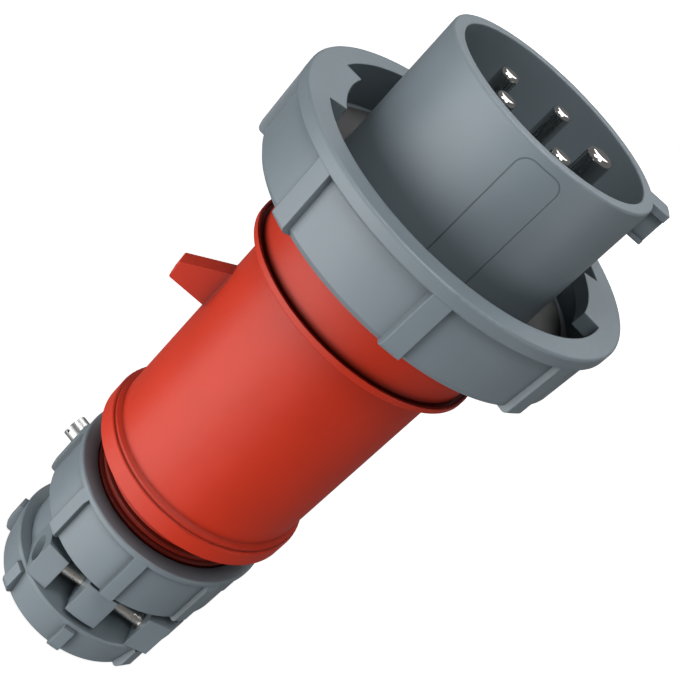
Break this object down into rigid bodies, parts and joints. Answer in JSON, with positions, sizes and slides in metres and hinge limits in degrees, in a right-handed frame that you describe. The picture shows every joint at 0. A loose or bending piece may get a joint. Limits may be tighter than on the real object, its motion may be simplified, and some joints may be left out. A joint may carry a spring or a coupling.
{
  "type": "industrial pin and sleeve plug",
  "caption": "Sealed industrial plug with a red body, grey sleeve with contact pins, bayonet locking ring, gland nut and cable clamp.",
  "frame": {"origin": "centre of the rear face of the clamp frame, on the plug's axis", "axes": "+Z along the axis towards the pins; +X towards the key and the earth pin; the fin points along -X"},
  "size_m": [0.1116, 0.1116, 0.23],
  "materials": {
    "grey_plastic": "fine moulded grain, satin",
    "red_plastic": "fine moulded grain, satin",
    "carrier_plastic": "smooth moulded",
    "nickel_plate": "bright nickel plating",
    "screw_steel": "bright turned steel",
    "washer_steel": "rolled sheet",
    "seal_rubber": "dull rubber"
  },
  "bodies": {
    "plug_body": {"housing": "red_plastic", "front_shroud": "grey_plastic", "contact_carrier": "carrier_plastic", "pin_earth": "nickel_plate", "pin_phase_1": "nickel_plate", "pin_phase_2": "nickel_plate", "pin_phase_3": "nickel_plate", "pin_neutral": "nickel_plate", "terminal_screws": "screw_steel", "carrier_screws": "screw_steel", "body_seal": "seal_rubber", "face_seal": "seal_rubber", "seal_grommet": "seal_rubber"},
    "ring": {"bayonet_ring": "grey_plastic"},
    "clamp_body": {"clamp_frame": "grey_plastic", "thrust_washer": "washer_steel"},
    "nut": {"gland_nut": "grey_plastic", "nut_lock_screw": "screw_steel"},
    "jaw_left": {"clamp_jaw_left": "grey_plastic"},
    "jaw_right": {"clamp_jaw_right": "grey_plastic", "clamp_nut_near": "screw_steel", "clamp_nut_far": "screw_steel"},
    "screw_near": {"clamp_screw_near": "screw_steel"},
    "screw_far": {"clamp_screw_far": "screw_steel"}
  },
  "joints": [
    {"name": "ring_turn", "type": "hinge", "parent": "plug_body", "child": "ring", "pos_m": [0, 0, 0.1863], "axis": [0, 0, 1], "range_deg": [0, 75]},
    {"name": "gland_advance", "type": "slide", "parent": "plug_body", "child": "clamp_body", "axis": [0, 0, 1], "range_m": [-0.00901, 0]},
    {"name": "nut_turn", "type": "hinge", "parent": "clamp_body", "child": "nut", "pos_m": [0, 0, 0.045], "axis": [0, 0, 1], "range_deg": [-1080, 0]},
    {"name": "jaw_left_close", "type": "slide", "parent": "clamp_body", "child": "jaw_left", "axis": [1, 0, 0], "range_m": [0, 0.007]},
    {"name": "jaw_right_close", "type": "slide", "parent": "clamp_body", "child": "jaw_right", "axis": [-1, 0, 0], "range_m": [0, 0.00701]},
    {"name": "screw_near_turn", "type": "hinge", "parent": "jaw_left", "child": "screw_near", "pos_m": [-0.0163, -0.021, 0.0214], "axis": [1, 0, 0], "range_deg": [0, 6300.3]},
    {"name": "screw_far_turn", "type": "hinge", "parent": "jaw_left", "child": "screw_far", "pos_m": [-0.0163, 0.021, 0.0214], "axis": [1, 0, 0], "range_deg": [0, 6300.3]}
  ],
  "couplings": [
    {"joint": "gland_advance", "follows": "nut_turn", "m_per_rad": 0.00047746},
    {"joint": "jaw_right_close", "follows": "jaw_left_close", "ratio": 1},
    {"joint": "screw_near_turn", "follows": "jaw_left_close", "rad_per_m": 15708},
    {"joint": "screw_far_turn", "follows": "jaw_left_close", "rad_per_m": 15708}
  ]
}
